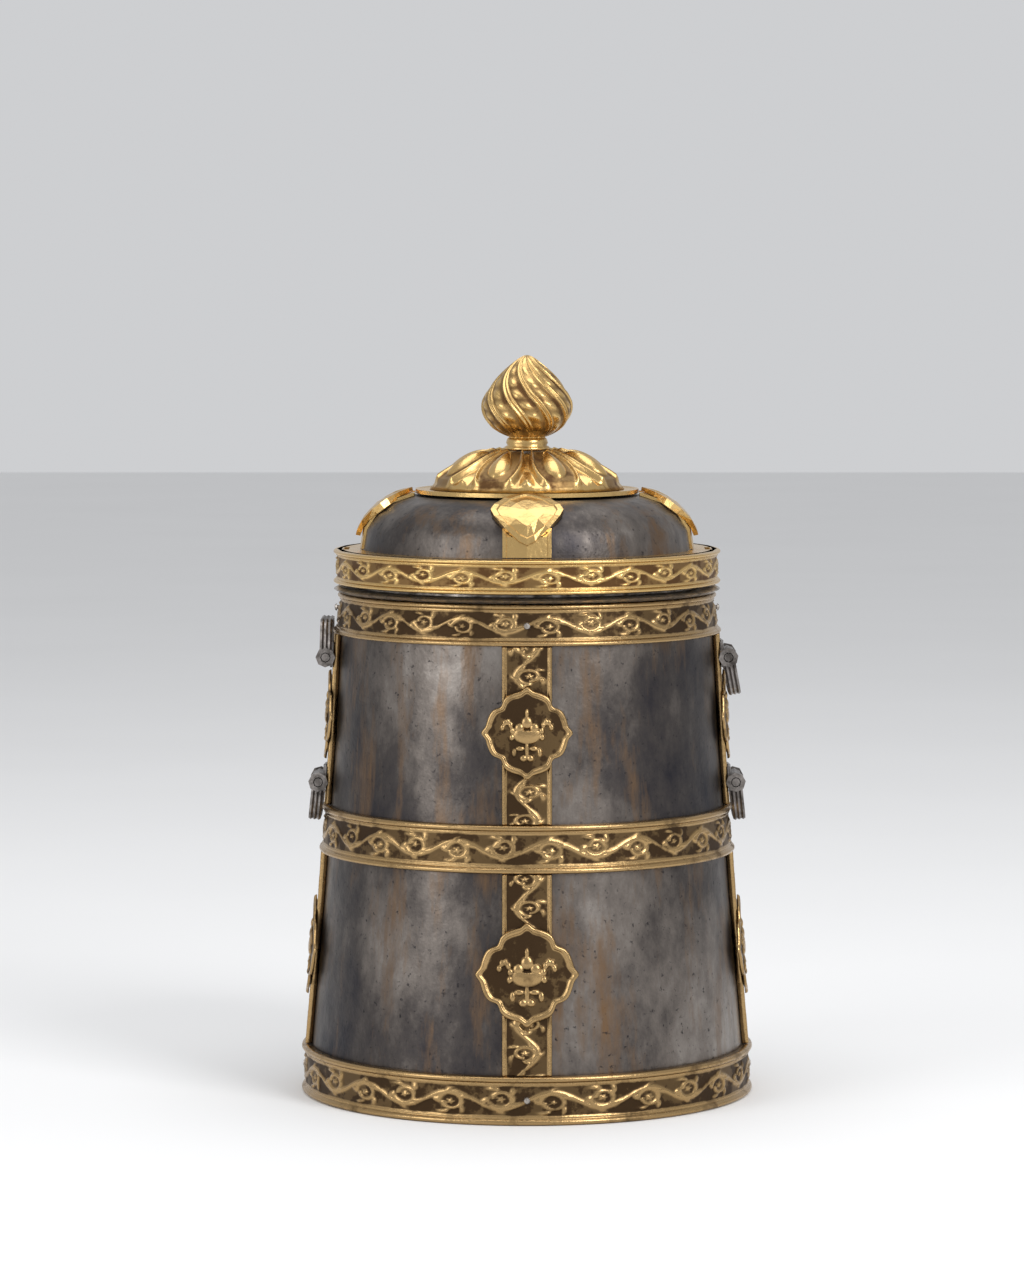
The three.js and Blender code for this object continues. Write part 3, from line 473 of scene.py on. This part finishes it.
def ridge(value, middle, width):
    """A soft ridge, 1 at its middle."""
    return np.exp(-(((value - middle) / width) ** 2))


def half_round(value, middle, half_width):
    """A bead's round section, 1 at its middle and 0 from its edges on."""
    return np.sqrt(np.clip(1 - ((value - middle) / half_width) ** 2, 0, 1))


def boss(x, y, at_x, at_y, wide, tall):
    """An oval dome, 1 at its middle and 0 from its edge on."""
    return np.sqrt(np.clip(1 - ((x - at_x) / wide) ** 2 - ((y - at_y) / tall) ** 2, 0, 1))


def fade_in(value, length):
    """0 up to 0, then straight up to 1 over the length."""
    return np.clip(value / length, 0, 1)


def dirt_beside(relief, field, wear):
    """Dirt that has stayed in a field, and that is rubbed off where the relief stands up."""
    return np.clip(field * (1 - wear * relief), 0, 1)


def vine(u, v):
    """Height of a scrolling vine, 0 to 1. u runs along the band in scrolls, v from -1 to 1 across it."""
    side = np.where(np.floor(u) % 2 == 0, 1.0, -1.0)
    x = (u % 1 - 0.5) * 2
    stem = ridge(v, STEM_SWING * side * np.cos(np.pi * x / 2), STEM_WIDTH)
    y = (v + CURL_OFFSET * side) * CURL_SQUASH
    radius = np.hypot(x, y)
    turn = np.arctan2(y * side, x)
    coil = ridge(radius - COIL_GROWTH * turn / np.pi, COIL_RADIUS, COIL_WIDTH) * (radius < COIL_REACH)
    leaves = np.clip(np.cos(LEAF_COUNT * turn + LEAF_SLANT * radius), 0, 1) ** LEAF_SHARPNESS
    leaves = leaves * ridge(radius, LEAF_RADIUS, LEAF_WIDTH)
    petal_radius = BLOSSOM_RADIUS + BLOSSOM_LOBE * np.cos(LEAF_COUNT * turn)
    blossom = np.clip(BLOSSOM_CROWN - radius / petal_radius, 0, 1)
    return np.clip(np.maximum.reduce([STEM_RISE * stem, COIL_RISE * coil, leaves, blossom]), 0, 1)


def band_piece(node):
    """A band of chased scrollwork between beads and reeds, inside its node's own box."""
    low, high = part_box(node)
    bottom, top = low[2], high[2]
    points = np.array([v.co for v in frame["nodes"][node].data.vertices])
    radii = np.hypot(points[:, 0], points[:, 1])
    low_radii = radii[points[:, 2] < bottom + BAND_END_STRIP]
    high_radii = radii[points[:, 2] > top - BAND_END_STRIP]
    across = np.linspace(0, 1, BAND_ROWS)
    around = np.linspace(0, 2 * np.pi, BAND_COLUMNS, endpoint=False)
    from_edge = np.minimum(across, 1 - across)
    bead = half_round(from_edge, BEAD_HEIGHT / 2, BEAD_HEIGHT / 2)
    reed = ridge(from_edge, REED_AT, REED_WIDTH)
    field = fade_in(from_edge - BAND_FIELD_AT, BAND_FIELD_EDGE)[:, None]
    u, v = np.meshgrid(around / (2 * np.pi) * SCROLLS_PER_BAND, (across - 0.5) / BAND_VINE_REACH)
    relief = vine(u, v) * field
    crown = np.linspace(low_radii.max(), high_radii.max(), BAND_ROWS)[:, None]
    radius = crown - BEAD_RISE + (BEAD_RISE * bead + REED_RISE * reed)[:, None] + LEAF_DEPTH * relief
    height = bottom + (top - bottom) * across
    vertices = [around_axis(r, a, z) for row, z in zip(radius, height) for r, a in zip(row, around)]
    for r, z in ((high_radii.min(), top), (low_radii.min(), bottom)):
        vertices += [around_axis(r, a, z) for a in around]
    faces = tube_faces(BAND_ROWS + 2, BAND_COLUMNS)
    cavity = np.concatenate([dirt_beside(relief, field, BAND_WEAR).ravel(), np.zeros(2 * BAND_COLUMNS)])
    return make_piece(f"chased_{node}", vertices, faces, node, cavity)


def wall_radius(z):
    """Outer radius of the silver wall at a height, read at 45 degrees, clear of the rivet holes."""
    points = np.array([v.co for v in frame["nodes"]["silver_wall"].data.vertices])
    off_line = np.degrees(np.arctan2(points[:, 1], points[:, 0])) - WALL_READ_DEGREES
    points = points[np.abs(off_line) < 1]
    levels = np.unique(points[:, 2].round(4))
    outer = [np.hypot(*points[np.abs(points[:, 2] - level) < 1e-4][:, :2].T).max() for level in levels]
    return np.interp(z, levels, outer)


def on_wall(side, across, z, height):
    """Points above the wall: side is in quarter turns from the front, across is measured along the wall."""
    radius = wall_radius(z)
    angle = side * math.pi / 2 + across / radius
    radius = radius + height
    return np.stack([radius * np.sin(angle), -radius * np.cos(angle), z], -1).reshape(-1, 3)


def front_box(name):
    """Box of the front's piece of this kind, which all four sides share and whose width lies along X."""
    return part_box(f"front_{name.split('_', 1)[1]}")


def strap_piece(name, side):
    """A strap with two ribs and a climbing vine between them."""
    low, high = front_box(name)
    z, s = np.meshgrid(
        np.linspace(low[2], high[2], STRAP_ROWS), np.linspace(-1, 1, STRAP_COLUMNS), indexing="ij"
    )
    rib = half_round(np.abs(s), STRAP_RIB_AT, STRAP_RIB_HALF_WIDTH)
    field = fade_in(STRAP_FIELD_AT - np.abs(s), STRAP_FIELD_EDGE)
    relief = vine(z / STRAP_SCROLL, s / STRAP_VINE_REACH) * field
    height = STRAP_GROUND + STRAP_RIB_RISE * rib + LEAF_DEPTH * relief
    front = on_wall(side, s * STRAP_HALF_WIDTH, z, height)
    back = on_wall(side, s[:, ::-1] * STRAP_HALF_WIDTH, z, np.full_like(z, STRAP_BACK))
    grid = (STRAP_ROWS, STRAP_COLUMNS, 3)
    vertices = np.concatenate([front.reshape(grid), back.reshape(grid)], 1).reshape(-1, 3)
    columns = 2 * STRAP_COLUMNS
    faces = grid_faces(STRAP_ROWS, columns) + [end_face(0, columns), end_face(STRAP_ROWS - 1, columns)]
    cavity = np.concatenate([dirt_beside(relief, field, STRAP_WEAR), np.zeros_like(z)], 1).ravel()
    return make_piece(f"{name}_chased", vertices, faces, name, cavity)


def offering(x, y):
    """Height of the plaque's relief: a bowl of jewels on a lotus stem, with leaves at both sides."""
    x = np.abs(x)
    shapes = [boss(x, y, *BOWL) * (y < BOWL_LIP)]
    shapes += [rise * boss(x, y, *place) for *place, rise in BOSSES.values()]
    for leaf in range(SPRAY_LEAVES):
        angle = SPRAY_START + leaf * SPRAY_STEP
        at_x = SPRAY_MIDDLE[0] + SPRAY_REACH[0] * math.cos(angle)
        at_y = SPRAY_MIDDLE[1] + SPRAY_REACH[1] * math.sin(angle)
        shapes.append(SPRAY_RISE * boss(x, y, at_x, at_y, *SPRAY_LEAF))
    return np.maximum.reduce(shapes)


def plaque_piece(name, side):
    """A lobed plaque with a rolled rim round its chased field."""
    low, high = front_box(name)
    half_wide = high[0]
    half_tall = (high[2] - low[2]) / 2
    middle = (high[2] + low[2]) / 2
    share, angle = polar_grid(PLAQUE_ROWS, PLAQUE_COLUMNS, PLAQUE_HEART)
    off_point = np.degrees(np.minimum(angle % (np.pi / 2), np.pi / 2 - angle % (np.pi / 2)))
    point = OUTLINE_POINT * ridge(off_point, 0, POINT_DEGREES)
    notch = OUTLINE_NOTCH * ridge(off_point, NOTCH_AT_DEGREES, NOTCH_DEGREES)
    outline = OUTLINE_LOBE + point - notch
    x = share * outline * np.cos(angle)
    y = share * outline * np.sin(angle)
    rim = half_round(share, PLAQUE_RIM_AT, PLAQUE_RIM_HALF_WIDTH)
    field = fade_in(PLAQUE_FIELD_AT - share, PLAQUE_FIELD_EDGE)
    relief = offering(x / OFFERING_SIZE, y / OFFERING_SIZE) * field
    height = PLAQUE_GROUND + PLAQUE_RIM_RISE * rim + PLAQUE_RELIEF * relief
    front = on_wall(side, x * half_wide, middle + y * half_tall, height)
    edge_height = np.full(PLAQUE_COLUMNS, PLAQUE_EDGE)
    edge = on_wall(side, x[-1] * half_wide, middle + y[-1] * half_tall, edge_height)
    faces = grid_faces(PLAQUE_ROWS + 1, PLAQUE_COLUMNS)
    faces += [end_face(0, PLAQUE_COLUMNS), end_face(PLAQUE_ROWS, PLAQUE_COLUMNS)]
    # Painted shade beneath the plaque: the edge ring and the back get a fixed darkness, so the edge darkens
    # towards the wall.
    painted_edge_shade = np.full(PLAQUE_COLUMNS, PLAQUE_EDGE_SHADE)
    cavity = np.concatenate([dirt_beside(relief, field, PLAQUE_WEAR).ravel(), painted_edge_shade])
    return make_piece(f"{name}_chased", np.concatenate([front, edge]), faces, name, cavity)


def smooth_turned(node, name):
    """A turned node again with round sides: its own profile, revolved finely."""
    shape = bmesh.new()
    shape.from_mesh(frame["nodes"][node].data)
    bmesh.ops.remove_doubles(shape, verts=shape.verts, dist=TURNED_MERGE_DISTANCE)
    # The cut is at 45 degrees, clear of the rivet holes at the quarters.
    cut = bmesh.ops.bisect_plane(
        shape, geom=[*shape.verts, *shape.edges, *shape.faces], plane_co=(0, 0, 0), plane_no=(-1, 1, 0)
    )
    lines = [e for e in cut["geom_cut"] if isinstance(e, bmesh.types.BMEdge) and e.verts[0].co.x > 0]
    profile = [[(math.hypot(v.co.x, v.co.y), v.co.z) for v in line.verts] for line in lines]
    shape.free()
    vertices = []
    faces = []
    for line in profile:
        start = len(vertices)
        for radius, z in line:
            turns = (2 * math.pi * c / TURNED_COLUMNS for c in range(TURNED_COLUMNS))
            vertices += [around_axis(radius, turn, z) for turn in turns]
        faces += [tuple(start + i for i in quad) for quad in grid_faces(2, TURNED_COLUMNS)]
    piece = make_piece(name, vertices, faces, node, np.zeros(len(vertices)))
    piece.data.set_sharp_from_angle(angle=math.radians(TURNED_CREASE_DEGREES))
    return piece


def lotus_piece():
    """The lotus mount: eight petals, each with a rolled rim round a keeled boss, and sepals between."""
    low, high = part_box("lotus_mount")
    foot = high[0]
    p, angle = polar_grid(LOTUS_ROWS, LOTUS_COLUMNS)
    q = ((angle / (2 * np.pi) * LOTUS_PETALS) % 1) * 2 - 1
    width = PETAL_WIDTH * np.sin(np.pi * (PETAL_ROOT + PETAL_SPREAD * p)) ** 0.5
    inside = fade_in(width - np.abs(q), PETAL_EDGE)
    lip = ridge(np.abs(q) - width, -LIP_INSET, LIP_WIDTH)
    along = ((p - BOSS_AT) / BOSS_HALF_LENGTH) ** 2
    across = (np.abs(q) / (BOSS_NARROW + BOSS_SPREAD * p)) ** BOSS_KEEL
    keel = np.clip(1 - along - across, 0, 1) ** BOSS_ROUNDNESS
    sepal = fade_in(p - SEPAL_AT, SEPAL_LENGTH)
    sepal = sepal * np.clip(1 - np.abs(1 - np.abs(q)) / SEPAL_HALF_WIDTH, 0, 1)
    fade = fade_in(p, NECK_FADE) * fade_in(1 - p, FOOT_FADE)
    swell = fade * (PETAL_RISE * inside + LIP_RISE * lip + BOSS_RISE * keel + SEPAL_RISE * sepal)
    reach = foot - LOTUS_NECK_RADIUS - LOTUS_EDGE_ROOM
    radius = LOTUS_NECK_RADIUS + reach * p + LOTUS_LEAN * swell * p
    z = low[2] + LOTUS_FOOT_RISE + (high[2] - low[2] - LOTUS_HEADROOM) * (1 - p**LOTUS_FALL) + swell
    vertices = grid_around_axis(radius, angle, z)
    for r in (foot, TANG_HOLE_RADIUS):
        vertices += [around_axis(r, a, low[2]) for a in angle[0]]
    faces = tube_faces(LOTUS_ROWS + 2, LOTUS_COLUMNS)
    dirt = np.clip(0.9 - 2.2 * keel - 1.2 * lip - sepal, 0, 1) * (0.3 + 0.7 * inside)
    cavity = np.concatenate([dirt.ravel(), np.full(2 * LOTUS_COLUMNS, LOTUS_BASE_DIRT)])
    return make_piece("lotus_petals", vertices, faces, "lotus_mount", cavity)


def bud_piece():
    """The bud: leaves that wind up to the tip, each with two ridges and a row of lobes."""
    low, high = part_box("finial_bud")
    t, angle = polar_grid(BUD_ROWS, BUD_COLUMNS)
    form = np.sin(np.pi * t**BUD_SHOULDER) ** BUD_FULLNESS
    form = form * (1 - BUD_SLIM * np.clip(t - BUD_SLIM_FROM, 0, 1) ** BUD_SLIM_POWER)
    form = np.maximum(BUD_STALK * (1 - t) ** BUD_STALK_POWER, form / form.max())
    leaf = (angle / (2 * np.pi) * BUD_LEAVES + BUD_TURN * t**BUD_TURN_POWER) % 1
    body = np.clip(np.sin(np.pi * t), 0, 1) ** 0.5
    ridges = ridge(leaf, RIDGE_AT, RIDGE_WIDTH)
    ridges = ridges + SECOND_RIDGE_RISE * ridge(leaf, SECOND_RIDGE_AT, SECOND_RIDGE_WIDTH)
    lobes = np.clip(np.sin(np.pi * fade_in(leaf - LOBES_AT, LOBES_WIDTH)), 0, 1)
    lobes = lobes * (LOBES_LEVEL + LOBES_WAVE * np.cos(LOBES_PITCH * t))
    relief = np.clip(np.maximum(ridges, LOBES_RISE * lobes), 0, 1)
    radius = (high[0] - BUD_RELIEF_ROOM) * form * BUD_SIZE + BUD_RELIEF * relief * body
    z = low[2] + BUD_COLLAR_HEIGHT + (high[2] - low[2] - BUD_COLLAR_HEIGHT) * t
    vertices = [around_axis(r, a, low[2] + rise) for r, rise in COLLAR for a in angle[0]]
    vertices += grid_around_axis(radius, angle, z)
    faces = grid_faces(BUD_ROWS + len(COLLAR), BUD_COLUMNS) + [end_face(0, BUD_COLUMNS)]
    collar_dirt = np.full(len(COLLAR) * BUD_COLUMNS, COLLAR_DIRT)
    dirt = dirt_beside(relief, 1, BUD_WEAR) * body
    cavity = np.concatenate([collar_dirt, dirt.ravel()])
    return make_piece("bud_leaves", vertices, faces, "finial_bud", cavity)


def dress_nodes(made):
    """Every node that keeps its own mesh gets its finish."""
    for name, node in frame["nodes"].items():
        if name in made:
            continue
        material = FINISHES[SLOT_OF[name]]
        if node.material_slots:
            for place in node.material_slots:
                place.material = material
        else:
            node.data.materials.append(material)


def make_stage():
    """A pale floor, wide enough to fill the picture."""
    side = FLOOR_HALF_SIDE
    mesh = bpy.data.meshes.new("floor")
    corners = [(-side, -side, 0), (side, -side, 0), (side, side, 0), (-side, side, 0)]
    mesh.from_pydata(corners, [], [(0, 1, 2, 3)])
    floor = bpy.data.objects.new("floor", mesh)
    scene.collection.objects.link(floor)
    tree = Tree("pale floor")
    grain = tree.noise(scale=3, detail=2)
    colour = tree.mix(grain, (0.80, 0.80, 0.80), (0.84, 0.84, 0.84))
    mesh.materials.append(tree.finish(colour, 0.9, grain, bump_distance=0.0001, metallic=0.0))


def make_light(name, place, size, power):
    """A soft lamp that faces the middle of the pot."""
    lamp = bpy.data.lights.new(name, "AREA")
    lamp.shape = "RECTANGLE"
    lamp.size, lamp.size_y = size
    lamp.energy = power
    holder = bpy.data.objects.new(name, lamp)
    holder.location = place
    scene.collection.objects.link(holder)
    aim = np.array(LAMP_AIM) - np.array(place)
    tilt = math.atan2(math.hypot(aim[0], aim[1]), -aim[2])
    holder.rotation_euler = (tilt, 0, math.atan2(-aim[0], aim[1]))


def make_lights():
    for name, (place, size, power) in LAMPS.items():
        make_light(name, place, size, power)
    world = bpy.data.worlds.new("studio")
    scene.world = world
    world.use_nodes = True
    background = world.node_tree.nodes["Background"]
    background.inputs["Color"].default_value = (*WORLD_COLOUR, 1)
    background.inputs["Strength"].default_value = WORLD_STRENGTH


def make_camera():
    camera = bpy.data.cameras.new("camera")
    camera.lens = LENS_MM
    camera.sensor_width = SENSOR_MM
    camera.shift_x = -AXIS_OFFSET_PIXELS / IMAGE_LONG_SIDE
    holder = bpy.data.objects.new("camera", camera)
    holder.location = (0, -CAMERA_DISTANCE, CAMERA_HEIGHT)
    holder.rotation_euler = (math.pi / 2 - CAMERA_PITCH, 0, 0)
    scene.collection.objects.link(holder)
    scene.camera = holder


make_camera()
make_stage()
make_lights()
replaced = {"lotus_mount", "finial_bud"}
for band in ("base_band", "middle_band", "rim_band", "lid_band"):
    band_piece(band)
    replaced.add(band)
for quarter, side_name in enumerate(("front", "right", "back", "left")):
    for level in ("upper", "lower"):
        strap_piece(f"{side_name}_strap_{level}", quarter)
        plaque_piece(f"{side_name}_plaque_{level}", quarter)
        replaced |= {f"{side_name}_strap_{level}", f"{side_name}_plaque_{level}"}
lotus_piece()
bud_piece()
for turned in ("silver_wall", "lid_dome", "lotus_disc", "mouth_ring"):
    smooth_turned(turned, f"round_{turned}")
    replaced.add(turned)
dress_nodes(replaced)
